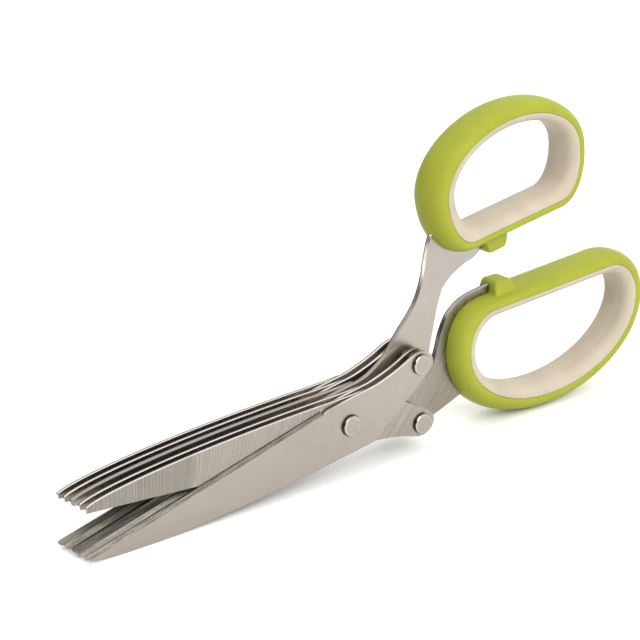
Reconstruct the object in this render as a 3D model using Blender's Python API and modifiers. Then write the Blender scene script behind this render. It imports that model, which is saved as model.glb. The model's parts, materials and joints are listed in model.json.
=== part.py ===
"""Herb scissors: five pairs of blades on one pivot rivet, with two overmoulded finger rings.

The lower blades and the upper finger ring are one half, and the upper blades and the lower
finger ring are the other. In each half the third blade is the thick handle plate, and four thin
blades are riveted to it at the tang, with round spacers between them.

Each half is drawn in its own frame: the pivot is the origin, +X runs to the handle, and +Z is
the side of the cutting edge and the tang rivet. Depths run from the front face of the stack to
the back. Lengths are in metres.
"""
import math

import bmesh
import bpy
import numpy as np
from mathutils import Matrix, Vector

# Driving dimensions of the blades
lower_blade_reach = 0.0868      # pivot to the tips of the lower blades
upper_blade_reach = 0.0851      # pivot to the tips of the upper blades
lower_tip = (0.0005, -0.0002)   # cutting edge and back at the blunt tip, from the pivot line
upper_tip = (-0.0006, -0.00185)
lower_back_width = 0.0080       # pivot line to the back of a blade
upper_back_width = 0.0077
lower_edge_width = 0.0074       # pivot line to the inner end of the cutting edge
upper_edge_width = 0.0064
edge_start = 0.0085             # pivot to the inner end of the cutting edge, along the blade
tang_radius = 0.0269            # pivot to the tang rivet
blade_thickness = 0.0010
handle_plate_thickness = 0.0015
pair_clearance = 0.00015        # running gap inside a pair of blades
pair_gap = 0.00058              # gap between one pair and the next
seat_gap = 0.00005              # between a washer, spacer or rivet head and its blade
bore_clearance = 0.00006        # between a rivet and its holes
blade_count = 5
handle_layer = 3

bevel_tip_width = 0.0012        # ground cutting bevel, across the blade near the tip
bevel_heel_width = 0.0006
bevel_land = 0.00012            # thickness left at the cutting edge
bevel_overlap = 0.0002          # how far the grinding wedge runs past the bevel, on each side
ricasso_step = 0.0005           # notch that ends the cutting edge

# Rivets, washers and spacers
rivet_radius = 0.0020
pivot_head_radius = 0.0030
tang_head_radius = 0.0029
rivet_head_height = 0.0010
washer_radius = 0.0046
spacer_radius = 0.0033

# Finger rings: the line between the green grip and the cream liner is a D on its side
upper_ring_side = 0.0323        # straight side, which faces the other handle
upper_ring_corner = (0.0081, 0.01385)
upper_ring_arch = 0.0156
upper_ring_tilt = math.radians(0.3)
lower_ring_side = 0.0440
lower_ring_corner = (0.0096, 0.0110)
lower_ring_arch = 0.0202
lower_ring_tilt = math.radians(2.2)
ring_depth = 0.0114
grip_rim = 0.0010               # flat green lip round the liner
upper_crowns = (0.0024, 0.0025, 0.0037, 0.0)  # beyond the lip: straight side, arch and nose,
lower_crowns = (0.0021, 0.0034, 0.0036, 0.0007)  # and what the corner by the shank adds
liner_wall = 0.0024
liner_crown = 0.0003
liner_clearance = 0.00012
plate_margin = 0.0056           # liner line to the plate's outer edge, beside the stop block
plate_bite = 0.0022             # liner line to the plate's inner edge, inside the grip
slot_clearance = 0.00012        # between the handle plate and its slot in the grip

# Stops: a block on each grip, and the two meet when the scissors are shut
stop_gap = 0.0003
stop_length = 0.0074
stop_width = 0.0068
stop_round = 0.0009
stop_seat = 0.0012              # liner line to the inner end of a block, inside the grip
upper_stop_place = -0.0069      # middle of a block, from the middle of its ring's straight side
lower_stop_place = -0.0160

# Pose in which the scissors stand
opening_angle = math.radians(7.4)
closing_angle = math.radians(9.3)
tang_angle = math.radians(15.6)
largest_tilt = math.radians(20)

# Drawing
overrun = 0.0050                # how far cutters run past what they cut
weld_distance = 0.000001
ring_steps = 60
section_steps = 5
lip_steps = 3
turn_steps = 24
curve_steps = 3
tang_steps = 2
back_steps = 18
bite_steps = 14
bevel_steps = 10
probe_share = 0.002             # of a ring's length, to find which way the line faces
tilt_rounds = 40

# Outline points as shares of the tang radius, along and across the half's frame
tang_shares = (
    (0.27, -0.296), (0.315, -0.275), (0.415, -0.211), (0.559, -0.127), (0.704, -0.047),
    (0.860, 0.040), (1.000, 0.122), (1.075, 0.172), (1.110, 0.208), (1.123, 0.255),
    (1.112, 0.315), (1.076, 0.360), (1.020, 0.393), (0.955, 0.402), (0.870, 0.388),
    (0.750, 0.351), (0.620, 0.319), (0.480, 0.295), (0.350, 0.280))
lower_throat_end_shares = ((0.200, 0.279), (-0.030, 0.277), (-0.240, 0.273))
upper_throat_end_shares = ((0.200, 0.270), (0.020, 0.265), (-0.200, 0.257))
upper_shank_rear_shares = (
    (0.27, -0.296), (0.315, -0.275), (0.415, -0.211), (0.559, -0.127), (0.70, -0.063),
    (0.89, -0.037), (1.09, -0.010), (1.20, 0.080), (1.257, 0.260), (1.333, 0.450),
    (1.405, 0.632), (1.455, 0.734), (1.522, 0.839), (1.639, 0.915))
upper_shank_front_shares = (
    (1.460, 1.450), (1.407, 1.366), (1.339, 1.195), (1.267, 0.999), (1.128, 0.784),
    (0.882, 0.580), (0.728, 0.442), (0.628, 0.373), (0.485, 0.311), (0.350, 0.280))
lower_shank_rear_shares = (
    (0.27, -0.296), (0.315, -0.275), (0.415, -0.211), (0.559, -0.127), (0.70, -0.056),
    (0.89, -0.022), (1.12, -0.030), (1.255, -0.130), (1.351, -0.288), (1.414, -0.484),
    (1.470, -0.602), (1.538, -0.697))
lower_shank_front_shares = (
    (1.671, 0.229), (1.487, 0.294), (1.326, 0.345), (1.150, 0.410), (0.962, 0.428),
    (0.800, 0.376), (0.620, 0.321), (0.480, 0.295), (0.350, 0.280))

# Plate beside the ring: place round the ring in half turns, and margin off the liner line
upper_margin_shares = ((-0.256, 1.40), (-0.200, 1.24))
lower_margin_shares = ((-0.344, 1.19), (-0.312, 1.01), (-0.270, 0.95))
upper_ring_nose_shares = (1.5659, 1.7779)   # the liner line's point nearest the pivot
lower_ring_nose_shares = (1.6653, -0.2340)
stop_plane_share = 0.4565       # where the blocks meet, from the lower ring's side to the upper's
upper_bite_share = -0.47
lower_bite_share = -0.66

# Profiles: a rivet head's radius and height, and how full the curves of blade and grip are
head_shares = ((0.0, 1.0), (0.50, 0.96), (0.83, 0.86), (0.95, 0.71), (1.0, 0.48), (1.0, 0.0))
back_power = 2.2
back_fullness = 0.65
back_spread = 0.8
grip_fullness = 1.0
block_place_share = 0.25        # how far past its middle the plate runs into a stop block

steel_colour = (0.62, 0.59, 0.56, 1.0)
rivet_colour = (0.70, 0.68, 0.65, 1.0)
green_colour = (0.36, 0.43, 0.035, 1.0)
cream_colour = (0.78, 0.70, 0.58, 1.0)


def start_clean():
    """Remove what the scene holds."""
    for item in list(bpy.data.objects):
        bpy.data.objects.remove(item, do_unlink=True)


def new_collection(name):
    collection = bpy.data.collections.new(name)
    bpy.context.scene.collection.children.link(collection)
    return collection


def new_material(name, colour, metallic, roughness):
    material = bpy.data.materials.new(name)
    material.use_nodes = True
    shader = material.node_tree.nodes["Principled BSDF"]
    shader.inputs["Base Color"].default_value = colour
    shader.inputs["Metallic"].default_value = metallic
    shader.inputs["Roughness"].default_value = roughness
    return material


def layer_spans():
    """Front and back depth of each lower and each upper blade, counted from the front."""
    lower = []
    upper = []
    front = 0.0
    for layer in range(1, blade_count + 1):
        thick = handle_plate_thickness if layer == handle_layer else blade_thickness
        lower.append((front, front + thick))
        front += thick + pair_clearance
        upper.append((front, front + thick))
        front += thick + pair_gap
    return lower, upper


def smooth_line(points, steps):
    """Points on a smooth curve through the given points, with steps in each stretch."""
    given = [Vector(p) for p in points]
    ends = [2 * given[0] - given[1]] + given + [2 * given[-1] - given[-2]]
    line = []
    for i in range(1, len(ends) - 2):
        before, here, there, after = ends[i - 1], ends[i], ends[i + 1], ends[i + 2]
        for step in range(steps):
            t = step / steps
            line.append(0.5 * (2 * here + (there - before) * t
                               + (2 * before - 5 * here + 4 * there - after) * t ** 2
                               + (3 * here - before - 3 * there + after) * t ** 3))
    line.append(given[-1])
    return [(p.x, p.y) for p in line]


def arc(centre, radius, start, finish, steps):
    """Points along an arc, from the start angle to the finish angle."""
    angles = [start + (finish - start) * i / steps for i in range(steps + 1)]
    return [(centre[0] + radius * math.cos(a), centre[1] + radius * math.sin(a)) for a in angles]


def circle(centre, radius):
    return arc(centre, radius, 0.0, math.tau * (1 - 1 / turn_steps), turn_steps - 1)


def scaled(shares):
    return [(x * tang_radius, z * tang_radius) for x, z in shares]


def grown(points, distance):
    """The closed outline, anticlockwise, moved outwards by a distance."""
    line = np.array(points)
    ahead = np.roll(line, -1, axis=0) - line
    behind = line - np.roll(line, 1, axis=0)
    total = ahead / np.linalg.norm(ahead, axis=1)[:, None]
    total = total + behind / np.linalg.norm(behind, axis=1)[:, None]
    normal = np.stack([total[:, 1], -total[:, 0]], axis=1)
    normal = normal / np.linalg.norm(normal, axis=1)[:, None]
    return [tuple(p) for p in line + normal * distance]


class BladeForm:
    """Sizes of one half's blades, measured from the pivot line."""

    def __init__(self, reach, tip, back, edge, throat_end):
        self.reach = reach
        self.tip = tip
        self.back = back
        self.edge = edge
        self.throat_end = throat_end


class Ring:
    """The D-shaped line between grip and liner: straight side, elliptical corners and an arch."""

    def __init__(self, side, corner, arch, nose, tilt, crowns):
        self.crowns = crowns
        self.along = np.array((math.cos(tilt), -math.sin(tilt)))
        self.away = np.array((math.sin(tilt), math.cos(tilt)))
        wide, high = corner
        self.centre = np.array(nose) + (side / 2 + wide) * self.along - high * self.away
        quarter = np.linspace(0, math.pi / 2, ring_steps)
        straight = np.linspace(0, side / 2, ring_steps)[:-1]
        a = np.concatenate([straight, side / 2 + wide * np.sin(quarter),
                            (side / 2 + wide) * np.cos(quarter[1:])])
        b = np.concatenate([0 * straight, high - high * np.cos(quarter),
                            high + arch * np.sin(quarter[1:])])
        a = np.concatenate([a, -a[-2::-1]])
        b = np.concatenate([b, b[-2::-1]])
        self.line = np.stack([a, b], axis=1)
        run = np.diff(self.line, axis=0)
        step = np.linalg.norm(run, axis=1)
        self.travel = np.concatenate([[0.0], np.cumsum(step)])
        heading = np.unwrap(np.arctan2(run[:, 1], run[:, 0]))
        bend = np.append(np.abs(np.diff(heading)), 0.0)
        share = step / self.travel[-1] + bend / math.tau
        self.measure = np.concatenate([[0.0], np.cumsum(share)])

    def stations(self, count):
        """Shares round the line, closer together where it turns."""
        wanted = np.linspace(0, self.measure[-1], count, endpoint=False)
        return 2 * np.interp(wanted, self.measure, self.travel) / self.travel[-1]

    def at(self, share):
        """Point and outward normal: share 0 is the middle of the side, and 1 is half a turn."""
        length = self.travel[-1]
        want = (share / 2 % 1.0) * length
        probe = length * probe_share
        places = [(want + s * probe) % length for s in (-1, 0, 1)]
        before, point, after = [np.array([np.interp(place, self.travel, self.line[:, k])
                                          for k in (0, 1)]) for place in places]
        run = (after - before) / np.linalg.norm(after - before)
        return point, np.array((run[1], -run[0]))

    def to_half(self, point):
        return self.centre + point[0] * self.along + point[1] * self.away

    def offset(self, share, distance):
        point, normal = self.at(share)
        return tuple(self.to_half(point + normal * distance))

    def near_side(self, place, distance):
        """A point off the straight side, by its place along the side."""
        return tuple(self.to_half(np.array((place, -distance))))

    def share_of(self, place):
        return 2 * place / self.travel[-1]

    def bulge(self, normal):
        """Crown of the grip: largest at the nose by the shank, least on the straight side."""
        side, arch, nose, corner = self.crowns
        along = nose if normal[0] < 0 else arch
        across = arch if normal[1] > 0 else side
        fullness = (2 * normal[0] * normal[1]) ** 2 if max(normal) < 0 else 0.0
        return along * normal[0] ** 2 + across * normal[1] ** 2 + corner * fullness

    def outside(self):
        """The outermost line of the grip."""
        points = []
        for share in self.stations(2 * ring_steps):
            crown = grip_rim + self.bulge(self.at(share)[1])
            points.append(self.offset(share, crown))
        return points


def blade_back(form):
    """Back of a blade from the blunt tip to the pivot: a flattened oval."""
    tip_edge, tip_back = form.tip
    points = [(-form.reach, tip_edge)]
    for i in range(back_steps + 1):
        share = math.cos(math.pi / 2 * i / back_steps) ** back_spread
        rise = (1 - share ** back_power) ** back_fullness
        points.append((-form.reach * share, tip_back - (form.back + tip_back) * rise))
    return points


def edge_notch(form):
    """Small notch at the inner end of the cutting edge, which then runs straight to the tip."""
    return [(ricasso_step - edge_start, form.edge - ricasso_step), (-edge_start, form.edge)]


def tang_rivet_place():
    return (tang_radius * math.cos(tang_angle), tang_radius * math.sin(tang_angle))


def blade_outline(form):
    """Thin blade: a nearly straight rear edge, a round tang end and a concave throat."""
    tang = smooth_line(scaled(tang_shares + form.throat_end), tang_steps)
    return blade_back(form) + tang + edge_notch(form)


def plate_outline(form, ring, rear_shares, margin_shares, bite_share, front_shares, stop_place):
    """Handle plate: a blade whose tang sweeps on into the grip and the stop block."""
    rear = scaled(rear_shares)
    rear += [ring.offset(share, plate_margin * margin) for share, margin in margin_shares]
    rear.append(ring.near_side(stop_place - stop_length / 2, plate_margin))
    outer = smooth_line(rear, curve_steps)
    block_place = stop_place + stop_length * block_place_share
    outer.append(ring.near_side(block_place, plate_margin))
    high = ring.share_of(block_place)
    inner = [ring.offset(high + (bite_share - high) * i / bite_steps, plate_bite)
             for i in range(bite_steps + 1)]
    front = smooth_line(scaled(front_shares + form.throat_end), curve_steps)
    return blade_back(form) + outer + inner + front + edge_notch(form)


def flat_mesh(name, outlines, front, thickness, side):
    """An upright plate from closed outlines: the first is the rim, and the others are holes."""
    curve = bpy.data.curves.new(name, "CURVE")
    curve.dimensions = "2D"
    curve.fill_mode = "BOTH"
    curve.extrude = thickness / 2
    for outline in outlines:
        spline = curve.splines.new("POLY")
        spline.points.add(len(outline) - 1)
        for point, (x, z) in zip(spline.points, outline):
            point.co = (x, z * side, 0.0, 1.0)
        spline.use_cyclic_u = True
    holder = bpy.data.objects.new(name + "_curve", curve)
    bpy.context.scene.collection.objects.link(holder)
    graph = bpy.context.evaluated_depsgraph_get()
    mesh = bpy.data.meshes.new_from_object(holder.evaluated_get(graph))
    bpy.data.objects.remove(holder, do_unlink=True)
    mesh.name = name
    stand_up = Matrix.Rotation(math.pi / 2, 4, "X")
    mesh.transform(Matrix.Translation((0.0, front + thickness / 2, 0.0)) @ stand_up)
    work = bmesh.new()
    work.from_mesh(mesh)
    bmesh.ops.remove_doubles(work, verts=work.verts, dist=weld_distance)
    bmesh.ops.recalc_face_normals(work, faces=work.faces)
    work.to_mesh(mesh)
    work.free()
    return mesh


class Half:
    """One half of the scissors: its frame, and which way its cutting edge faces (1 up, -1 down)."""

    def __init__(self, name, pivot, angle, side, parts, cutters):
        self.side = side
        self.parts = parts
        self.cutters = cutters
        self.frame = bpy.data.objects.new(name, None)
        self.frame.location = pivot
        self.frame.rotation_euler = (0.0, -angle, 0.0)
        parts.objects.link(self.frame)

    def add(self, name, mesh, material):
        item = bpy.data.objects.new(name, mesh)
        self.parts.objects.link(item)
        item.parent = self.frame
        mesh.materials.append(material)
        return item

    def cut(self, item, name, mesh, operation="DIFFERENCE"):
        """Cut or join a closed shape into a piece of this half."""
        tool = bpy.data.objects.new(name, mesh)
        self.cutters.objects.link(tool)
        tool.parent = self.frame
        tool.hide_render = True
        tool.display_type = "WIRE"
        change = item.modifiers.new(name, "BOOLEAN")
        change.operation = operation
        change.solver = "EXACT"
        change.object = tool


def bevel_mesh(name, half, form, front, thickness, face):
    """A long wedge that grinds the cutting edge from one face: -1 the front face, 1 the back."""
    heel = Vector((-edge_start, form.edge))
    tip = Vector((-form.reach, form.tip[0]))
    run = (tip - heel).normalized()
    inward = Vector((-run.y, run.x))
    length = (tip - heel).length
    depth = thickness - bevel_land
    work = bmesh.new()
    loops = []
    for i in range(bevel_steps + 1):
        travel = (length + overrun) * i / bevel_steps
        width = bevel_heel_width + (bevel_tip_width - bevel_heel_width) * travel / length
        rise = bevel_overlap * depth / width
        corners = ((-bevel_overlap, bevel_land - rise), (width + bevel_overlap, thickness + rise),
                   (-bevel_overlap, thickness + rise))
        loop = []
        for inset, level in corners:
            flat = heel + run * travel + inward * inset
            depth_in = level if face > 0 else thickness - level
            loop.append(work.verts.new((flat.x, front + depth_in, flat.y * half.side)))
        loops.append(loop)
    work.faces.new(loops[0])
    work.faces.new(loops[-1])
    for here, there in zip(loops, loops[1:]):
        for i in range(3):
            j = (i + 1) % 3
            work.faces.new((here[i], here[j], there[j], there[i]))
    bmesh.ops.recalc_face_normals(work, faces=work.faces)
    mesh = bpy.data.meshes.new(name)
    work.to_mesh(mesh)
    work.free()
    return mesh


def add_blade(half, name, outline, form, span, material):
    """A blade with its two rivet holes and its ground edge."""
    front, back = span
    hole = rivet_radius + bore_clearance
    rims = [outline, circle((0.0, 0.0), hole), circle(tang_rivet_place(), hole)]
    blade = half.add(name, flat_mesh(name, rims, front, back - front, half.side), material)
    wedge = bevel_mesh(name + "_bevel", half, form, front, back - front, -half.side)
    half.cut(blade, name + "_bevel", wedge)
    return blade


def add_turned(half, name, profile, closed, centre, material):
    """A turned piece about an axis through the blades, from a profile of radius and depth."""
    count = len(profile)
    edges = [(i, (i + 1) % count) for i in range(count if closed else count - 1)]
    mesh = bpy.data.meshes.new(name)
    mesh.from_pydata([(radius, 0.0, -depth) for radius, depth in profile], edges, [])
    item = half.add(name, mesh, material)
    item.location = (centre[0], 0.0, centre[1] * half.side)
    item.rotation_euler = (math.pi / 2, 0.0, 0.0)
    screw = item.modifiers.new("turn", "SCREW")
    screw.axis = "Z"
    screw.steps = turn_steps
    screw.render_steps = turn_steps
    screw.use_merge_vertices = True
    screw.merge_threshold = weld_distance
    screw.use_smooth_shade = False
    return item


def rivet_profile(head_radius, front, back):
    """A rivet with a low rounded head at each end, from the front head to the back one."""
    near = front - seat_gap
    far = back + seat_gap
    head = [(radius * head_radius, height * rivet_head_height) for radius, height in head_shares]
    line = [(radius, near - height) for radius, height in head]
    line += [(rivet_radius, near), (rivet_radius, far)]
    line += [(radius, far + height) for radius, height in reversed(head)]
    return line


def collar_profile(outer, front, back):
    """A washer or a spacer between two blades."""
    inner = rivet_radius + bore_clearance
    low = front + seat_gap
    high = back - seat_gap
    return [(inner, low), (outer, low), (outer, high), (inner, high)]


def ring_mesh(name, half, ring, section):
    """A closed moulding: a section of offsets and depths carried round the ring."""
    work = bmesh.new()
    loops = []
    for share in ring.stations(ring_steps):
        point, normal = ring.at(share)
        loop = []
        for distance, depth in section(ring.bulge(normal)):
            x, z = ring.to_half(point + normal * distance)
            loop.append(work.verts.new((x, depth, z * half.side)))
        loops.append(loop)
    count = len(loops[0])
    for i in range(ring_steps):
        here, there = loops[i], loops[(i + 1) % ring_steps]
        for j in range(count):
            k = (j + 1) % count
            work.faces.new((here[j], here[k], there[k], there[j]))
    bmesh.ops.recalc_face_normals(work, faces=work.faces)
    mesh = bpy.data.meshes.new(name)
    work.to_mesh(mesh)
    work.free()
    mesh.shade_smooth()
    return mesh


def grip_section(middle):
    """Grip: flat lips beside the liner, and an oval crown between them."""
    half_depth = ring_depth / 2

    def section(bulge):
        pairs = [(0.0, middle - half_depth)]
        for i in range(2 * section_steps + 1):
            angle = math.pi * (i / section_steps - 1) / 2
            crown = max(math.cos(angle), 0.0) ** grip_fullness
            pairs.append((grip_rim + bulge * crown, middle + half_depth * math.sin(angle)))
        pairs.append((0.0, middle + half_depth))
        return pairs
    return section


def liner_section(middle):
    """Liner: a thin wall with rounded lips and a slight crown inside."""
    half_depth = ring_depth / 2
    lip = liner_wall / 2

    def section(bulge):
        pairs = [(-liner_clearance, middle + half_depth), (-liner_clearance, middle - half_depth)]
        for i in range(lip_steps + 1):
            angle = math.pi / 2 * i / lip_steps
            pairs.append((lip - liner_wall - lip * math.sin(angle),
                          middle - half_depth + lip - lip * math.cos(angle)))
        pairs.append((-liner_wall - liner_crown, middle))
        for i in range(lip_steps + 1):
            angle = math.pi / 2 * (1 - i / lip_steps)
            pairs.append((lip - liner_wall - lip * math.sin(angle),
                          middle + half_depth - lip + lip * math.cos(angle)))
        return pairs
    return section


def stop_mesh(name, half, ring, place, middle, face_distance):
    """A rounded block on the straight side, whose flat face meets the other half's block."""
    lean = (closing_angle - opening_angle) / 2
    outward = np.array((math.sin(lean), -math.cos(lean)))
    sideways = np.array((math.cos(lean), math.sin(lean)))
    root = np.array(ring.near_side(place, stop_seat))
    height = face_distance - float(root @ outward)
    centre = root + outward * height / 2
    work = bmesh.new()
    bmesh.ops.create_cube(work, size=1.0)
    bmesh.ops.scale(work, vec=(stop_length, stop_width, height), verts=work.verts)
    bmesh.ops.bevel(work, geom=work.edges[:], offset=stop_round, segments=2, profile=0.5,
                    affect="EDGES")
    turn = Matrix(((sideways[0], 0.0, outward[0]), (0.0, 1.0, 0.0),
                   (sideways[1], 0.0, outward[1]))).to_4x4()
    place_block = Matrix.Translation((centre[0], middle, centre[1])) @ turn
    mirror = Matrix.Scale(half.side, 4, Vector((0.0, 0.0, 1.0)))
    bmesh.ops.transform(work, matrix=mirror @ place_block, verts=work.verts)
    bmesh.ops.recalc_face_normals(work, faces=work.faces)
    mesh = bpy.data.meshes.new(name)
    work.to_mesh(mesh)
    work.free()
    return mesh


def add_handle(half, name, ring, plate, span, stop_place, face_distance, green, cream):
    """Overmoulded grip with its stop block and the slot for the plate, and the soft liner."""
    front, back = span
    middle = (front + back) / 2
    grip = half.add(name + "_grip", ring_mesh(name + "_grip", half, ring, grip_section(middle)),
                    green)
    block = stop_mesh(name + "_stop", half, ring, stop_place, middle, face_distance)
    half.cut(grip, name + "_stop", block, "UNION")
    slot = flat_mesh(name + "_slot", [grown(plate, slot_clearance)], front - slot_clearance,
                     back - front + 2 * slot_clearance, half.side)
    half.cut(grip, name + "_slot", slot)
    half.add(name + "_liner", ring_mesh(name + "_liner", half, ring, liner_section(middle)), cream)


def heights(points, angle, side):
    """Heights and reaches of a half's points when its frame is turned by an angle."""
    line = np.array(points)
    x = line[:, 0] * math.cos(angle) - line[:, 1] * side * math.sin(angle)
    z = line[:, 0] * math.sin(angle) + line[:, 1] * side * math.cos(angle)
    return x, z


def standing_tilt(blade, ring_line):
    """Tilt at which the lower blades and the lower ring touch the ground together."""
    low, high = 0.0, largest_tilt
    for _ in range(tilt_rounds):
        tilt = (low + high) / 2
        blade_low = heights(blade, tilt + opening_angle / 2, 1)[1].min()
        ring_low = heights(ring_line, tilt - opening_angle / 2, -1)[1].min()
        if blade_low > ring_low:
            low = tilt
        else:
            high = tilt
    return (low + high) / 2


def build():
    start_clean()
    parts = new_collection("herb_scissors")
    cutters = new_collection("cutters")
    steel = new_material("blade_steel", steel_colour, 1.0, 0.34)
    rivet_steel = new_material("rivet_steel", rivet_colour, 1.0, 0.22)
    green = new_material("grip_green", green_colour, 0.0, 0.42)
    cream = new_material("liner_cream", cream_colour, 0.0, 0.6)
    lower_spans, upper_spans = layer_spans()
    stack_back = upper_spans[-1][1]

    upper_nose, lower_nose = scaled((upper_ring_nose_shares, lower_ring_nose_shares))
    upper_ring = Ring(upper_ring_side, upper_ring_corner, upper_ring_arch, upper_nose,
                      upper_ring_tilt, upper_crowns)
    lower_ring = Ring(lower_ring_side, lower_ring_corner, lower_ring_arch, lower_nose,
                      lower_ring_tilt, lower_crowns)
    upper_side, lower_side = upper_ring.centre[1], -lower_ring.centre[1]
    stop_distance = lower_side + stop_plane_share * (upper_side - lower_side)
    lower_form = BladeForm(lower_blade_reach, lower_tip, lower_back_width, lower_edge_width,
                           lower_throat_end_shares)
    upper_form = BladeForm(upper_blade_reach, upper_tip, upper_back_width, upper_edge_width,
                           upper_throat_end_shares)
    lower_outline = blade_outline(lower_form)
    upper_outline = blade_outline(upper_form)
    upper_handle_plate = plate_outline(
        lower_form, upper_ring, upper_shank_rear_shares, upper_margin_shares, upper_bite_share,
        upper_shank_front_shares, upper_stop_place)
    lower_handle_plate = plate_outline(
        upper_form, lower_ring, lower_shank_rear_shares, lower_margin_shares, lower_bite_share,
        lower_shank_front_shares, lower_stop_place)

    ring_line = lower_ring.outside()
    tilt = standing_tilt(lower_outline, ring_line)
    lower_angle = tilt + opening_angle / 2
    upper_angle = tilt - opening_angle / 2
    blade_x, blade_z = heights(lower_outline, lower_angle, 1)
    ring_x = heights(ring_line, upper_angle, -1)[0]
    upper_x = heights(upper_ring.outside(), lower_angle, 1)[0]
    furthest = max(ring_x.max(), upper_x.max())
    pivot = (-(blade_x.min() + furthest) / 2, -stack_back / 2, -blade_z.min())

    upper_half = Half("upper_handle_half", pivot, lower_angle, 1, parts, cutters)
    lower_half = Half("lower_handle_half", pivot, upper_angle, -1, parts, cutters)
    for layer in range(1, blade_count + 1):
        is_plate = layer == handle_layer
        add_blade(upper_half, f"lower_blade_{layer}",
                  upper_handle_plate if is_plate else lower_outline,
                  lower_form, lower_spans[layer - 1], steel)
        add_blade(lower_half, f"upper_blade_{layer}",
                  lower_handle_plate if is_plate else upper_outline,
                  upper_form, upper_spans[layer - 1], steel)

    tang = tang_rivet_place()
    add_turned(lower_half, "pivot_rivet", rivet_profile(pivot_head_radius, 0.0, stack_back),
               False, (0.0, 0.0), rivet_steel)
    add_turned(upper_half, "upper_tang_rivet",
               rivet_profile(tang_head_radius, 0.0, lower_spans[-1][1]), False, tang, rivet_steel)
    add_turned(lower_half, "lower_tang_rivet",
               rivet_profile(tang_head_radius, upper_spans[0][0], stack_back), False, tang,
               rivet_steel)
    for layer in range(1, blade_count):
        add_turned(lower_half, f"pivot_washer_{layer}",
                   collar_profile(washer_radius, upper_spans[layer - 1][1], lower_spans[layer][0]),
                   True, (0.0, 0.0), rivet_steel)
        add_turned(upper_half, f"upper_tang_spacer_{layer}",
                   collar_profile(spacer_radius, lower_spans[layer - 1][1], lower_spans[layer][0]),
                   True, tang, rivet_steel)
        add_turned(lower_half, f"lower_tang_spacer_{layer}",
                   collar_profile(spacer_radius, upper_spans[layer - 1][1], upper_spans[layer][0]),
                   True, tang, rivet_steel)

    add_handle(upper_half, "upper_handle", upper_ring, upper_handle_plate,
               lower_spans[handle_layer - 1], upper_stop_place,
               -stop_distance - stop_gap / 2, green, cream)
    add_handle(lower_half, "lower_handle", lower_ring, lower_handle_plate,
               upper_spans[handle_layer - 1], lower_stop_place,
               stop_distance - stop_gap / 2, green, cream)


build()
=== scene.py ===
"""Looks of the herb scissors: satin ground blades, turned rivets, moulded grips and soft liners.

Each half has its own frame: the pivot is the origin, +x runs to the handle, and +z is the side of
its cutting edges. Lengths are in metres, but places and sizes in a material are in millimetres.
Colours are linear red, green and blue, and a strength is a share of the colour.
"""
import json
import math

import bmesh
import bpy
import numpy as np
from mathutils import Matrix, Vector


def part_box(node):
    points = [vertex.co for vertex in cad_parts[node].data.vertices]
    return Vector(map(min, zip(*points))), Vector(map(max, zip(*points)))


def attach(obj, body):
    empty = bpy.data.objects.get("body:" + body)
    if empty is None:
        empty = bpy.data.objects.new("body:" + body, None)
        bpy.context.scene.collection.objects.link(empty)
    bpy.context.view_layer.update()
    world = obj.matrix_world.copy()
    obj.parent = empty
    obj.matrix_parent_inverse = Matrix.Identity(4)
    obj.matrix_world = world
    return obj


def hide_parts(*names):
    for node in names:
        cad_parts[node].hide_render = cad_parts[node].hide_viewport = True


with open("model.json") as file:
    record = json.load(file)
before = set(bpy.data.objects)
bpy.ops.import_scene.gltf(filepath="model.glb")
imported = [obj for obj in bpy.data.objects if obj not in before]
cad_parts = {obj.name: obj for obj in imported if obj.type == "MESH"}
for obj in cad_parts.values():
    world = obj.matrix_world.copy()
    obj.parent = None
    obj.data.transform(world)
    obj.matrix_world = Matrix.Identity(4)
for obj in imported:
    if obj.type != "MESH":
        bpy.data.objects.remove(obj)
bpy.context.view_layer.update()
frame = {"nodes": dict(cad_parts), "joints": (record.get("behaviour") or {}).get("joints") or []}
pivot = Vector(frame["joints"][0]["pos_m"])
mm = 0.001

# The stack of blades
blade_layers = 5
plate_layer = 3                         # the thick blade, which runs on into its grip
stack_front = -7.035 * mm               # front face of the front blade
stack_back = 7.035 * mm
blade_step = 1.15 * mm                  # from a lower blade's face to the upper blade's beside it
opening_angle = math.radians(7.4)
closing_angle = math.radians(9.3)
standing_tilt = math.radians(5.2069)
merge_distance = 0.002 * mm
sharp_corner = math.radians(50)

# Rivets, washers and spacers. A head's shares are of its radius and of its height.
tang_radius = 26.9 * mm                 # pivot to the tang rivet
tang_angle = math.radians(15.6)
rivet_radius = 2.0 * mm
pivot_head_radius = 3.0 * mm
tang_head_radius = 2.9 * mm
head_height = 1.0 * mm
head_flat_share = 0.74
head_dome_share = 0.09                  # how far the flat part falls towards the shoulder
head_foot_share = 0.43                  # height at the foot of the shoulder
head_side_shares = ((0.99, 0.14), (0.95, 0.03))
cap_share = 0.001                       # the ring at the axis that a cap closes
bore_clearance = 0.06 * mm
chamfer_share = 0.12                    # of a washer's or spacer's thickness
turning_steps = 96
dome_points = 7
shoulder_points = 13

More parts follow.
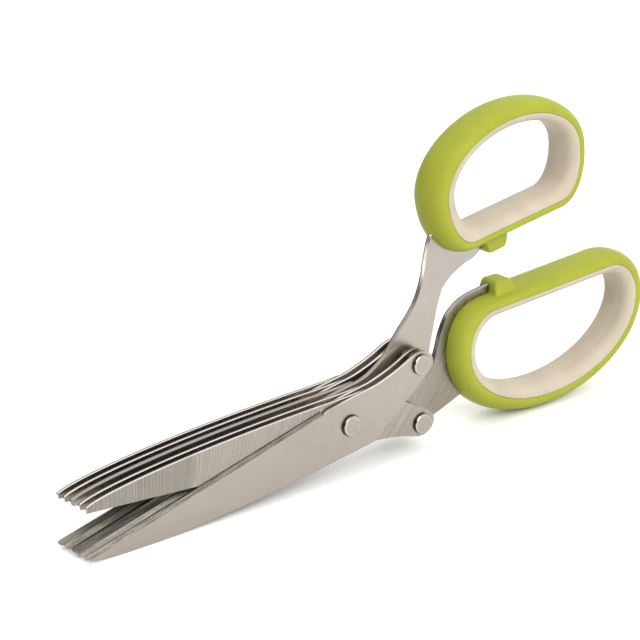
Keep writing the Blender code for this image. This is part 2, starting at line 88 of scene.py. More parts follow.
# Finger rings: the D-shaped line between grip and liner, in the frame of the half
upper_ring_shape = dict(side=32.3 * mm, corner=(8.1 * mm, 13.85 * mm), arch=15.6 * mm,
                        nose=(42.123 * mm, 47.825 * mm), tilt=math.radians(0.3),
                        crowns=(2.4 * mm, 2.5 * mm, 3.7 * mm, 0.0),
                        hole=dict(side=3.0 * mm, far=3.0 * mm, nose=3.9 * mm, arch=2.8 * mm,
                                  corner=7.8 * mm),
                        block_place=-6.9 * mm, block_plane=-25.66 * mm, block_ends=(5, 14))
lower_ring_shape = dict(side=44.0 * mm, corner=(9.6 * mm, 11.0 * mm), arch=20.2 * mm,
                        nose=(44.797 * mm, -6.295 * mm), tilt=math.radians(2.2),
                        crowns=(2.1 * mm, 3.37 * mm, 3.6 * mm, 0.7 * mm),
                        hole=dict(side=2.6 * mm, far=3.2 * mm, nose=3.1 * mm, arch=3.4 * mm,
                                  corner=8.8 * mm),
                        block_place=-16.0 * mm, block_plane=25.36 * mm, block_ends=(9, 4))
ring_offset = 0.825 * mm                # middle of a ring's depth, from the middle of the stack
ring_depth = 11.4 * mm
grip_rim = 1.0 * mm                     # flat lip beside the liner
lip_round = 0.18 * mm
lip_points = 6
liner_crown_share = 0.10                # crown of the liner's inner face, as a share of its wall
liner_roll = 3.4 * mm                   # how far through the depth the liner's rim rolls inwards
liner_power = 2.1
liner_gap = 0.05 * mm
liner_points = (5, 17, 9)               # round the outer corner, round the rim, and across
ring_stations = 460
section_points = 73

# Stop blocks, which grow out of the straight sides
block_length = 7.4 * mm
block_width = 6.8 * mm
block_spread = 0.25 * mm                # how far a block's fillets reach past its half size
block_width_power = 9
block_rise_power = 4
dense_reach = 0.7 * block_length        # stations are closer this far from a block's middle,
dense_rise = 9                          # up to the corner's height divided by this,
dense_gain = 3                          # and by this much

# Sheet steel. What runs along the blade has its places on the half's x.
flat_share = 0.93                       # a face whose normal has more than this share of y is flat,
edge_share = 0.30                       # and one with less than this is a sheared edge
rear_blades = 5.4                       # backs in front of this depth look into a gap and get painted light
steel_face = (0.355, 0.320, 0.289)
# painted shade: a darker, greenish colour for the tips of the faces
painted_tip_shade = (0.240, 0.228, 0.200)
# painted light: a bright colour for the backs that look into the gaps between blades
painted_gap_light = (0.93, 0.89, 0.83, 1.0)
steel_bevel = (0.158, 0.147, 0.127)
thin_edge = (0.62, 0.585, 0.54)
plate_edge = (0.285, 0.258, 0.228)
broken_edge = (0.13, 0.12, 0.105, 1.0)
steel_cloud_size, steel_grain_size = 6.0, 0.22
steel_clouds, steel_grain = 0.14, 0.10
marks_growth = (-30.0, 20.0)            # along here the grinding marks grow
marks_gain = 1.7                        # to this many times their strength
band_share = 0.4
tang_light = (-15.0, 22.0, 0.0, 0.08)   # places and strengths of more light towards the tang
tip_shade_line = (-50.6, -51.8)               # along here the face turns into the darker, painted shade of the tip
tip_bow, tip_lean = 0.05, 0.35          # of the line between them
# where the shank's tint starts; on the lower plate it is painted shade with a painted green
# reflection of the grip
shank_shade_start = (24.0, 40.0)
shank_edge_start = (27.0, 37.0)
gap_light = (-40.0, 10.0)               # along here a back that looks into a gap grows bright with painted light
gap_tip_share = 0.15
streak_stretch = (0.15, 4.0, 0.15)
edge_streaks, break_streaks, bevel_streaks = 0.5, 0.30, 2.2
thin_break = (0.50, 0.64)               # where an edge breaks, from 0 in front to 1 at the back
plate_break = (0.66, 0.80)
bevel_marks = 1.1
steel_roughness = 0.32
broken_rougher, gap_rougher = 0.20, 0.50
steel_unevenness, steel_bump = 0.3, 0.25  # roughness and relief by the surface's variation

# Grinding marks
lean_growth = (-75.0, 12.0, 0.15, 1.0)  # places and shares of the lean
marks_bow = 0.02
depth_scale = 2.0
marks_layers = (("Marks", 3.0, 0.03), ("Bands", 0.16, 0.10))  # scales across and along a line
marks_detail, marks_roughness = 4.0, 0.65
cut_turn = 6.6                          # radians per millimetre: a cut every 0.95 mm
cut_wander = 9.0                        # radians, by the bands' value
cut_level = 0.3                         # of the wave, above which it cuts
cut_depth = (-0.14, 0.10, 0.10, 0.32)   # values of the bands, and how deep it cuts there

# Turned steel. Its places are distances from the axis.
rivet_face = (0.368, 0.332, 0.296)
rivet_shoulder = (0.45, 0.41, 0.37)
# painted shade on the steep side of a head, where it meets the blade
painted_foot_shade = (0.06, 0.055, 0.05, 1.0)
shoulder_start = (2.12, 2.35)
foot_shade_start = (2.74, 2.84)
ring_scale, ring_detail, ring_strength, rivet_grain = 7.0, 4.0, 0.10, 0.15
rivet_roughness, shoulder_polish = 0.33, -0.18
rivet_unevenness, rivet_bump = 0.2, 0.2

# Mouldings, the floor, and what surfaces share
grip_colour = (0.260, 0.284, 0.032)
liner_colour = (0.402, 0.347, 0.268)
floor_colour = (0.87, 0.863, 0.838, 1.0)
moulded_unevenness = 0.2
cloud_size, grain_size = 8.0, 0.25      # where a finish gives none of its own
bump_height = 0.02 * mm


def wall(x, half, power):
    """1 in the middle and 0 from half outwards: (1 - |x / half|^power)^2, a steep wall with a
    rounded shoulder and a fillet at its foot. The higher the power, the crisper the shoulder."""
    return np.clip(1 - np.abs(x / half) ** power, 0.0, 1.0) ** 2


def d_line(side, wide, high, arch, shift, low):
    """Points of a D: half a straight side, a quarter ellipse up to the widest place, a quarter
    ellipse over the arch, and the same mirrored."""
    quarter = np.linspace(0, math.pi / 2, ring_stations)
    straight = np.linspace(0, side / 2, ring_stations)[:-1]
    a = np.concatenate([straight, side / 2 + wide * np.sin(quarter),
                        (side / 2 + wide) * np.cos(quarter[1:])])
    b = np.concatenate([0 * straight, high - high * np.cos(quarter),
                        high + arch * np.sin(quarter[1:])])
    return np.stack([np.concatenate([a, -a[-2::-1]]) + shift,
                     np.concatenate([b, b[-2::-1]]) + low], axis=1)


class Ring:
    """The liner line of one finger ring, in the frame of its half, and the line of its hole.

    Both are Ds, and each place on one has its partner on the other. Stations are spaced by arc
    length and by turn together, and closer still beside the stop block.

    A shape gives the length of the straight side, the half axes of its corners, the rise of the
    arch, the place of the nose, which is the end nearest the pivot, and the tilt of the side.
    The crowns are the grip's on the side, the arch and the nose, and more at the corner by the
    shank. The hole has the liner's wall on the side, the far end, the nose and the arch, and its
    own corners. The stop block has its middle on the side, the distance of its plane from the
    pivot, and the powers of the walls at its ends.
    """

    def __init__(self, side, corner, arch, nose, tilt, crowns, hole, block_place, block_plane,
                 block_ends):
        self.crowns = crowns
        wide, high = corner
        self.along = np.array((math.cos(tilt), -math.sin(tilt)))
        self.away = np.array((math.sin(tilt), math.cos(tilt)))
        self.centre = np.array(nose) + (side / 2 + wide) * self.along - high * self.away
        line = d_line(side, wide, high, arch, 0.0, 0.0)
        inner_half = side / 2 + wide - (hole["nose"] + hole["far"]) / 2
        inner_line = d_line(2 * (inner_half - hole["corner"]), hole["corner"],
                            high - hole["side"], arch - hole["arch"],
                            (hole["nose"] - hole["far"]) / 2, hole["side"])
        run = np.diff(line, axis=0)
        step = np.linalg.norm(run, axis=1)
        heading = np.unwrap(np.arctan2(run[:, 1], run[:, 0]))
        bend = np.append(np.abs(np.diff(heading)), 0.0)
        beside = np.abs(line[:-1, 0] - block_place) < dense_reach
        beside = beside & (line[:-1, 1] < high / dense_rise)
        share = (step + dense_gain * step * beside) / step.sum() + bend / math.tau
        travel = np.concatenate([[0.0], np.cumsum(step)])
        measure = np.concatenate([[0.0], np.cumsum(share)])
        wanted = np.linspace(0, measure[-1], ring_stations, endpoint=False)
        place = np.interp(wanted, measure, travel)
        self.points, self.hole = (
            np.stack([np.interp(place, travel, one[:, k]) for k in (0, 1)], axis=1)
            for one in (line, inner_line))
        turn = np.roll(self.points, -1, axis=0) - np.roll(self.points, 1, axis=0)
        turn = turn / np.linalg.norm(turn, axis=1)[:, None]
        self.normals = np.stack([turn[:, 1], -turn[:, 0]], axis=1)
        self.block_place = block_place
        self.block_plane = block_plane
        self.block_ends = block_ends

    def mix(self, side, arch, nose, corner):
        """A value at each station: the straight side's, the arch's and the nose's, mixed by the
        squares of the normal's parts, with something more at the corner by the shank."""
        n = self.normals
        fullness = np.where((n < 0).all(axis=1), (2 * n[:, 0] * n[:, 1]) ** 2, 0.0)
        return (np.where(n[:, 0] < 0, nose, arch) * n[:, 0] ** 2
                + np.where(n[:, 1] > 0, arch, side) * n[:, 1] ** 2 + corner * fullness)

    def with_block(self, crown, depth):
        """The crown raised to the leaning plane of the stop block. The fourth power of the height
        goes from the crown's to the plane's by the product of a wall along the side and a wall
        through the depth, so the block grows out of the crown with a fillet."""
        lean = (closing_angle - opening_angle) / 2
        outward = np.array((math.sin(lean), -math.cos(lean)))
        foot = self.centre + self.points[:, :1] * self.along + self.points[:, 1:] * self.away
        height = ((foot @ outward - self.block_plane) / (self.away @ outward))[:, None]
        place = self.points[:, 0] - self.block_place
        near_end, far_end = self.block_ends
        half = block_length / 2 + block_spread
        length = np.where(place < 0, wall(place, half, near_end), wall(place, half, far_end))
        length = np.where(self.points[:, 1] < lip_round, length, 0.0)[:, None]
        width = wall(depth, block_width / 2 + block_spread, block_width_power)
        power = block_rise_power
        rise = np.maximum(height ** power - crown ** power, 0.0) * length * width
        return (crown ** power + rise) ** (1 / power)

    def carried(self, distance, depth, share=0.0):
        """Points of a section carried round the ring: distance from the liner line, depth, and
        share of the way from there to the hole, each by stations and points."""
        flat = self.points[:, None, :] + self.normals[:, None, :] * distance[:, :, None]
        flat = flat + (self.hole[:, None, :] - flat) * np.atleast_2d(share)[:, :, None]
        half = self.centre + flat[..., :1] * self.along + flat[..., 1:] * self.away
        return np.stack([half[..., 0], depth, half[..., 1]], axis=2)


class Half:
    """One half of the scissors: its body, the angle at which its frame stands, which way its
    edges face, and the middle of its ring's depth."""

    def __init__(self, body, angle, side, middle):
        self.body = body
        self.angle = angle
        self.side = side
        self.middle = middle

    def to_world(self, points):
        """World places of points in the half's frame."""
        x, y, z = points[..., 0], points[..., 1], points[..., 2] * self.side
        c, s = math.cos(self.angle), math.sin(self.angle)
        return np.stack([pivot.x + x * c - z * s, y, pivot.z + x * s + z * c], axis=-1)

    def tang(self):
        """World place of the half's tang rivet."""
        place = np.array((math.cos(tang_angle), 0.0, math.sin(tang_angle))) * tang_radius
        return self.to_world(place)


def filled_mesh(name, points, faces):
    """A smooth mesh from arrays of points and four-cornered faces, turned outwards."""
    mesh = bpy.data.meshes.new(name)
    mesh.vertices.add(len(points))
    mesh.vertices.foreach_set("co", points.reshape(-1))
    mesh.loops.add(faces.size)
    mesh.loops.foreach_set("vertex_index", faces.reshape(-1))
    mesh.polygons.add(len(faces))
    mesh.polygons.foreach_set("loop_start", np.arange(len(faces)) * faces.shape[1])
    mesh.update(calc_edges=True)
    mesh.validate()
    mesh.polygons.foreach_set("use_smooth", np.ones(len(mesh.polygons), bool))
    a, b, c = (points[faces[:, k]] for k in (0, 1, 2))
    if np.einsum("ij,ij->i", a, np.cross(b, c)).sum() < 0:
        mesh.flip_normals()
    return mesh


def closed_surface(name, grid):
    """A mesh from a grid of points that closes on itself both ways."""
    rows, columns = grid.shape[:2]
    index = np.arange(rows * columns).reshape(rows, columns)
    right = np.roll(index, -1, axis=1)
    corners = np.stack([index, right, np.roll(right, -1, axis=0), np.roll(index, -1, axis=0)],
                       axis=2).reshape(-1, 4)
    return filled_mesh(name, grid.reshape(-1, 3), corners)


def new_piece(name, mesh, material, body, nodes):
    """A piece that replaces CAD nodes, has one material and rides on its body."""
    item = bpy.data.objects.new(name, mesh)
    bpy.context.scene.collection.objects.link(item)
    mesh.materials.append(material)
    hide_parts(*nodes)
    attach(item, body)
    return item


def grip_grid(ring, middle):
    """Grip: a lip with a rounded inner corner, an oval crown round the outside with the stop block
    growing out of it, and the same lip at the back."""
    angle = np.linspace(-math.pi / 2, math.pi / 2, section_points)
    crown = grip_rim + ring.mix(*ring.crowns)[:, None] * np.cos(angle)[None, :]
    depth = np.broadcast_to(ring_depth / 2 * np.sin(angle), crown.shape)
    crown = ring.with_block(crown, depth)
    corner = np.linspace(0, math.pi / 2, lip_points)
    lip = np.broadcast_to(lip_round * (1 - np.sin(corner)), (len(crown), lip_points))
    lip_depth = np.broadcast_to(ring_depth / 2 - lip_round * (1 - np.cos(corner)), lip.shape)
    distance = np.concatenate([lip[:, ::-1], crown, lip], axis=1)
    depth = np.concatenate([-lip_depth[:, ::-1], depth, lip_depth], axis=1)
    return ring.carried(distance, depth + middle)


def liner_grid(ring, middle):
    """Liner: from a small rounded outer corner its rim rolls inwards along a quarter of a
    superellipse to the hole, where the inner face is slightly crowned, and the same at the back."""
    corner_points, roll_points, across_points = liner_points
    corner = np.linspace(0, math.pi / 2, corner_points)
    turn = np.linspace(0, math.pi / 2, roll_points)[1:]
    sine, cosine = np.sin(turn), np.maximum(np.cos(turn), 0.0)
    across = np.linspace(-1, 1, across_points)[1:-1]
    first = liner_gap + lip_round
    distance = np.concatenate([-liner_gap - lip_round * (1 - np.cos(corner)),
                               first * (0 * turn - 1)])
    share = np.concatenate([0 * corner, sine ** (2 / liner_power)])
    depth = np.concatenate([lip_round * (1 - np.sin(corner)),
                            liner_roll * (1 - cosine ** (2 / liner_power))]) - ring_depth / 2
    crown = 1 + liner_crown_share * (1 - across ** 2)
    distance = np.concatenate([distance, first * (0 * across - 1), distance[::-1]])
    share = np.concatenate([share, crown, share[::-1]])
    depth = np.concatenate([depth, (ring_depth / 2 - liner_roll) * across, -depth[::-1]])
    distance = np.broadcast_to(distance, (len(ring.points), len(distance)))
    return ring.carried(distance, np.broadcast_to(depth + middle, distance.shape), share)


def turned(name, profile, centre, closed):
    """A profile of radius and depth turned about an axis along y. An open profile starts and ends
    in a tiny ring at the axis, which a strip of faces closes."""
    radius, depth = np.array(profile).T
    angle = np.linspace(0, math.tau, turning_steps, endpoint=False)
    grid = np.stack([centre[0] + radius[:, None] * np.cos(angle), depth[:, None] + 0 * angle,
                     centre[2] + radius[:, None] * np.sin(angle)], axis=2)
    if closed:
        mesh = closed_surface(name, grid)
    else:
        rows = len(radius)
        index = np.arange(rows * turning_steps).reshape(rows, turning_steps)
        right = np.roll(index, -1, axis=1)
        quads = np.stack([index[:-1], right[:-1], right[1:], index[1:]], axis=2).reshape(-1, 4)
        up = np.arange(turning_steps // 2 - 1)
        down = turning_steps - 1 - up
        cap = np.stack([up, up + 1, down - 1, down], axis=1)
        last = (rows - 1) * turning_steps
        mesh = filled_mesh(name, grid.reshape(-1, 3),
                           np.concatenate([quads, cap[:, ::-1], last + cap]))
    reach = mesh.attributes.new("turning_radius", "FLOAT", "POINT")
    reach.data.foreach_set("value", np.repeat(radius / mm, turning_steps))
    return mesh


def rivet_profile(head_radius, front, back):
    """Two low heads on a shank. A head is a nearly flat dome out to three quarters of its radius,
    then a quarter ellipse for the shoulder over a steep side, and it draws in a little where it
    meets the blade."""
    flat = head_flat_share * head_radius
    dome = np.linspace(cap_share, 1.0, dome_points)
    turn = np.linspace(0, math.pi / 2, shoulder_points)[1:]
    side_radius, side_height = np.array(head_side_shares).T
    rise = 1 - head_dome_share - head_foot_share
    radius = np.concatenate([flat * dome, flat + (head_radius - flat) * np.sin(turn),
                             side_radius * head_radius])
    height = head_height * np.concatenate([1 - head_dome_share * dome ** 2,
                                           head_foot_share + rise * np.cos(turn), side_height])
    head = np.stack([radius, front - height], axis=1)
    tail = np.stack([radius, back + height], axis=1)[::-1]
    return np.concatenate([head, [(rivet_radius, front), (rivet_radius, back)], tail])


def collar_profile(outer, front, back):
    """A washer or spacer: a rectangle of radius and depth with two small chamfers."""
    chamfer = chamfer_share * (back - front)
    inner = rivet_radius + bore_clearance
    return np.array([(inner, front), (outer - chamfer, front), (outer, front + chamfer),
                     (outer, back - chamfer), (outer - chamfer, back), (inner, back)])


def merged_blade(name, node):
    """A copy of a blade with its loose corners merged: shaded smooth along its outline, and with
    a hard edge where a flat face ends and at sharp corners. Its attribute "through" runs from 0
    on the front face to 1 on the back face."""
    form = bmesh.new()
    form.from_mesh(node.data)
    bmesh.ops.remove_doubles(form, verts=form.verts, dist=merge_distance)
    mesh = bpy.data.meshes.new(name)
    form.to_mesh(mesh)
    form.free()
    normals = np.empty((len(mesh.polygons), 3))
    mesh.polygons.foreach_get("normal", normals.reshape(-1))
    edges = np.empty(len(mesh.loops), int)
    mesh.loops.foreach_get("edge_index", edges)
    sides = (np.argsort(edges, kind="stable") // 3).reshape(-1, 2)
    first, second = normals[sides[:, 0]], normals[sides[:, 1]]
    flat = np.abs(np.stack([first[:, 1], second[:, 1]])) > flat_share
    corner = (first * second).sum(axis=1) < math.cos(sharp_corner)
    mesh.edges.foreach_set("use_edge_sharp", (flat[0] != flat[1]) | corner)
    mesh.polygons.foreach_set("use_smooth", np.ones(len(mesh.polygons), bool))
    places = np.empty((len(mesh.vertices), 3))
    mesh.vertices.foreach_get("co", places.reshape(-1))
    depth = places[:, 1]
    through = mesh.attributes.new("through", "FLOAT", "POINT")
    through.data.foreach_set("value", (depth - depth.min()) / (depth.max() - depth.min()))
    return mesh


# ---------------------------------------------------------------- finishes
def put(tree, kind, inputs=(), **settings):
    """A node with its settings, and with each input given a value or the output that feeds it."""
    node = tree.nodes.new(kind)
    for name, value in settings.items():
        setattr(node, name, value)
    for socket, value in dict(inputs).items():
        if isinstance(value, bpy.types.NodeSocket):
            tree.links.new(value, node.inputs[socket])
        else:
            node.inputs[socket].default_value = value
    return node


def calc(tree, operation, *values):
    """The result of one operation on numbers and outputs."""
    return put(tree, "ShaderNodeMath", dict(enumerate(values)), operation=operation).outputs[0]


def ramp(tree, value, start, finish, low=0.0, high=1.0):
    """Smooth change from low to high while the value goes from start to finish."""
    node = put(tree, "ShaderNodeMapRange", {"Value": value, "From Min": start, "From Max": finish,
                                            "To Min": low, "To Max": high},
               interpolation_type="SMOOTHSTEP")
    return node.outputs["Result"]


def noise(tree, vector, scale, detail=3.0, roughness=0.55):
    """Noise round zero."""
    node = put(tree, "ShaderNodeTexNoise", {"Vector": vector, "Scale": scale, "Detail": detail,
                                            "Roughness": roughness})
    return calc(tree, "SUBTRACT", node.outputs[0], 0.5)


def blend(tree, factor, first, second):
    """The first colour where the factor is 0, and the second where it is 1."""
    node = put(tree, "ShaderNodeMix", {0: factor, 6: first, 7: second}, data_type="RGBA")
    return node.outputs[2]


def group(name, inputs, outputs):
    """An empty node group with its sockets, and its two end nodes."""
    tree = bpy.data.node_groups.new(name, "ShaderNodeTree")
    for socket, kind, value in inputs:
        made = tree.interface.new_socket(socket, in_out="INPUT", socket_type=kind)
        if value is not None:
            made.default_value = value
    for socket in outputs:
        tree.interface.new_socket(socket, in_out="OUTPUT", socket_type="NodeSocketFloat")
    return tree, put(tree, "NodeGroupInput"), put(tree, "NodeGroupOutput")


def finish_group():
    """Mottle and fine grain of one surface: noise round zero at two sizes."""
    tree, given, result = group(
        "surface_variation",
        [("Place", "NodeSocketVector", None), ("Cloud Size", "NodeSocketFloat", cloud_size),
         ("Grain Size", "NodeSocketFloat", grain_size)], ["Clouds", "Grain"])
    for size, out in (("Cloud Size", "Clouds"), ("Grain Size", "Grain")):
        scale = calc(tree, "DIVIDE", 1.0, given.outputs[size])
        tree.links.new(noise(tree, given.outputs["Place"], scale), result.inputs[out])
    return tree


def lines_group():
    """Marks left by the grinding wheel: noise drawn out along lines that cross the blade, upright
    near the tip and leaning more and more towards the tang, and a deeper cut at each turn of the
    wheel. Bands are wider stripes of the same."""
    tree, given, result = group(
        "grinding_marks", [("Place", "NodeSocketVector", None), ("Lean", "NodeSocketFloat", 0.5)],
        ["Marks", "Bands"])
    x, y, z = put(tree, "ShaderNodeSeparateXYZ", {0: given.outputs["Place"]}).outputs
    lean = calc(tree, "MULTIPLY", given.outputs["Lean"], ramp(tree, x, *lean_growth))
    across = calc(tree, "ADD", x, calc(tree, "MULTIPLY", z, lean))
    bow = calc(tree, "MULTIPLY", calc(tree, "MULTIPLY", z, z), marks_bow)
    across = calc(tree, "ADD", across, calc(tree, "MULTIPLY", bow, given.outputs["Lean"]))
    value = {}
    for out, scale, stretch in marks_layers:
        vector = put(tree, "ShaderNodeCombineXYZ", {
            0: calc(tree, "MULTIPLY", across, scale), 1: calc(tree, "MULTIPLY", y, depth_scale),
            2: calc(tree, "MULTIPLY", z, stretch)}).outputs[0]
        value[out] = noise(tree, vector, 1.0, marks_detail, marks_roughness)
    turn = calc(tree, "MULTIPLY_ADD", value["Bands"], cut_wander,
                calc(tree, "MULTIPLY", across, cut_turn))
    cuts = calc(tree, "SUBTRACT", calc(tree, "SINE", turn), cut_level)
    cuts = calc(tree, "MAXIMUM", cuts, 0.0)
    cuts = calc(tree, "MULTIPLY", cuts, ramp(tree, value["Bands"], *cut_depth))
    value["Marks"] = calc(tree, "SUBTRACT", value["Marks"], cuts)
    for out, made in value.items():
        tree.links.new(made, result.inputs[out])
    return tree


def sheet_group():
    """Which way a plate's surface looks: 1 on its flat faces, 1 on its sheared edges, and 1 on
    its back."""
    tree, _, result = group("sheet_sides", [], ["Face", "Edge", "Back"])
    normal = put(tree, "ShaderNodeNewGeometry").outputs["True Normal"]
    backward = put(tree, "ShaderNodeSeparateXYZ", {0: normal}).outputs["Y"]
    depth = calc(tree, "ABSOLUTE", backward)
    tree.links.new(calc(tree, "GREATER_THAN", depth, flat_share), result.inputs["Face"])
    tree.links.new(calc(tree, "LESS_THAN", depth, edge_share), result.inputs["Edge"])
    tree.links.new(calc(tree, "GREATER_THAN", backward, flat_share), result.inputs["Back"])
    return tree


def new_finish(name, metallic):
    """A new material, its tree and its shader."""
    material = bpy.data.materials.new(name)
    material.use_nodes = True
    tree = material.node_tree
    shader = tree.nodes["Principled BSDF"]
    shader.inputs["Metallic"].default_value = metallic
    return material, tree, shader


def millimetres(tree, half=None):
    """Object coordinates in mm: of the whole, or in the frame of one half."""
    where = put(tree, "ShaderNodeTexCoord").outputs["Object"]
    inputs = {"Vector": where, "Scale": (mm, mm, mm)}
    if half:
        inputs.update({"Location": pivot, "Rotation": (0.0, -half.angle, 0.0),
                       "Scale": (mm, mm, half.side * mm)})
    return put(tree, "ShaderNodeMapping", inputs, vector_type="TEXTURE").outputs[0]


def raised(tree, shader, height, strength):
    """Give the surface a fine relief."""
    bump = put(tree, "ShaderNodeBump", {"Height": height, "Strength": strength,
                                        "Distance": bump_height})
    tree.links.new(bump.outputs[0], shader.inputs["Normal"])


def shade(tree, colour, amount):
    """The colour made lighter or darker by a share."""
    factor = calc(tree, "ADD", 1.0, amount)
    node = put(tree, "ShaderNodeVectorMath", {0: colour, 3: factor}, operation="SCALE")
    return node.outputs[0]


def steel_finish(name, half, groups, lean, marks, tone, tip=0.0, shank=None, edge_gain=1.0):
    """Satin sheet steel: ground faces with painted shade at a darker tip and painted light that
    makes the backs towards the gaps brighter, a ground bevel, and sheared edges that are burnished
    in front and broken behind. A handle plate's edges are duller, and its shank has a tint and an
    edge of its own; on the lower plate the tint is painted shade with a painted green reflection
    of the grip.

    Lean and marks are the slant and the strength of the grinding marks, tone scales the colour
    of the faces, tip is the share of the darker colour painted as shade at the tip, shank is the
    tint of the shank, which can paint shade, and edge_gain is how many times as bright the edges
    are along it.
    """
    material, tree, shader = new_finish(name, 1.0)
    place = millimetres(tree, half)
    x, y, z = put(tree, "ShaderNodeSeparateXYZ", {0: place}).outputs
    sides = put(tree, "ShaderNodeGroup", node_tree=groups["sides"]).outputs
    lines = put(tree, "ShaderNodeGroup", {"Place": place, "Lean": lean},
                node_tree=groups["lines"]).outputs
    fine = put(tree, "ShaderNodeGroup", {"Place": place, "Cloud Size": steel_cloud_size,
                                         "Grain Size": steel_grain_size},
               node_tree=groups["finish"]).outputs

    # All the variation of the ground surface
    cut = ramp(tree, x, *marks_growth, marks, marks * marks_gain)
    total = calc(tree, "MULTIPLY", lines["Marks"], cut)
    total = calc(tree, "MULTIPLY_ADD", lines["Bands"], calc(tree, "MULTIPLY", cut, band_share),
                 total)
    total = calc(tree, "MULTIPLY_ADD", fine["Clouds"], steel_clouds, total)
    total = calc(tree, "MULTIPLY_ADD", fine["Grain"], steel_grain, total)

    # Faces, with painted light towards the tang, painted shade at the tip, the shank's tint, and
    # painted light on the backs that look into a gap
    face = shade(tree, [tone * part for part in steel_face],
                 calc(tree, "ADD", total, ramp(tree, x, *tang_light)))
    bowed = calc(tree, "MULTIPLY_ADD", calc(tree, "MULTIPLY", z, z), tip_bow, x)
    bowed = calc(tree, "MULTIPLY_ADD", z, tip_lean, bowed)
    # painted shade on the front faces at the tip
    tip_shade = calc(tree, "MULTIPLY", ramp(tree, bowed, *tip_shade_line, 0.0, tip),
                calc(tree, "SUBTRACT", 1.0, sides["Back"]))
    face = blend(tree, tip_shade, face, shade(tree, painted_tip_shade, total))
    # the shank's tint: on the lower plate, painted shade with a painted green reflection of the
    # grip
    if shank:
        tinted = put(tree, "ShaderNodeVectorMath", {0: face, 1: shank}, operation="MULTIPLY")
        face = blend(tree, ramp(tree, x, *shank_shade_start), face, tinted.outputs[0])
    # painted light on the backs that look into a gap
    gap = calc(tree, "MULTIPLY", sides["Back"], calc(tree, "LESS_THAN", y, rear_blades))
    gap = calc(tree, "MULTIPLY", gap,
               ramp(tree, x, *gap_light, gap_tip_share, 0.0 if shank else 1.0))
    face = blend(tree, gap, face, painted_gap_light)

    # Sheared edges and the bevel
    streak = put(tree, "ShaderNodeMapping", {"Vector": place, "Scale": streak_stretch})
    streaks = noise(tree, streak.outputs[0], 1.0)
    shine = ramp(tree, x, *shank_edge_start, 0.0, edge_gain - 1)
    edge = shade(tree, plate_edge if shank else thin_edge,
                 calc(tree, "MULTIPLY_ADD", streaks, edge_streaks, shine))
    through = put(tree, "ShaderNodeAttribute", attribute_name="through").outputs["Fac"]
    ragged = calc(tree, "MULTIPLY_ADD", streaks, break_streaks, through)
    broken = calc(tree, "MULTIPLY", ramp(tree, ragged, *(plate_break if shank else thin_break)),
                  sides["Edge"])
    edge = blend(tree, broken, edge, broken_edge)
    hatch = calc(tree, "MULTIPLY_ADD", lines["Marks"], bevel_marks, total)
    bevel = shade(tree, steel_bevel, calc(tree, "MULTIPLY_ADD", streaks, bevel_streaks, hatch))

    colour = blend(tree, sides["Edge"], bevel, edge)
    colour = blend(tree, sides["Face"], colour, face)
    tree.links.new(colour, shader.inputs["Base Color"])
    rough = calc(tree, "MULTIPLY_ADD", broken, broken_rougher, steel_roughness)
    rough = calc(tree, "MULTIPLY_ADD", gap, gap_rougher, rough)
    rough = calc(tree, "MULTIPLY_ADD", total, steel_unevenness, rough)
    tree.links.new(rough, shader.inputs["Roughness"])
    raised(tree, shader, total, steel_bump)
    return material


def rivet_finish(name, groups):
    """Turned steel: a satin face with faint rings, a brighter burnished shoulder, and painted shade
    on the side where the head meets the blade."""
    material, tree, shader = new_finish(name, 1.0)
    radius = put(tree, "ShaderNodeAttribute", attribute_name="turning_radius").outputs["Fac"]
    rings = put(tree, "ShaderNodeCombineXYZ", {0: calc(tree, "MULTIPLY", radius, ring_scale)})
    fine = put(tree, "ShaderNodeGroup", {"Place": millimetres(tree)},
               node_tree=groups["finish"]).outputs
    total = calc(tree, "MULTIPLY_ADD", noise(tree, rings.outputs[0], 1.0, ring_detail),
                 ring_strength, calc(tree, "MULTIPLY", fine["Grain"], rivet_grain))
    shoulder = ramp(tree, radius, *shoulder_start)
    colour = blend(tree, shoulder, shade(tree, rivet_face, total),
                   shade(tree, rivet_shoulder, total))
    # painted shade on the side of the head, where it meets the blade
    colour = blend(tree, ramp(tree, radius, *foot_shade_start), colour, painted_foot_shade)
    tree.links.new(colour, shader.inputs["Base Color"])
    rough = calc(tree, "MULTIPLY_ADD", shoulder, shoulder_polish, rivet_roughness)
    rough = calc(tree, "MULTIPLY_ADD", total, rivet_unevenness, rough)
    tree.links.new(rough, shader.inputs["Roughness"])
    raised(tree, shader, total, rivet_bump)
    return material


def moulded_finish(name, groups, colour, roughness, gloss, clouds, grain, bump):
    """Moulded plastic: soft clouds of shade, and a fine eroded grain from the mould."""
    material, tree, shader = new_finish(name, 0.0)
    shader.inputs["Specular IOR Level"].default_value = gloss
    fine = put(tree, "ShaderNodeGroup", {"Place": millimetres(tree)},
               node_tree=groups["finish"]).outputs
    total = calc(tree, "MULTIPLY", fine["Clouds"], clouds)
    total = calc(tree, "MULTIPLY_ADD", fine["Grain"], grain, total)
    tree.links.new(shade(tree, colour, total), shader.inputs["Base Color"])
    rough = calc(tree, "MULTIPLY_ADD", fine["Grain"], moulded_unevenness, roughness)
    tree.links.new(rough, shader.inputs["Roughness"])
    raised(tree, shader, fine["Grain"], bump)
    return material


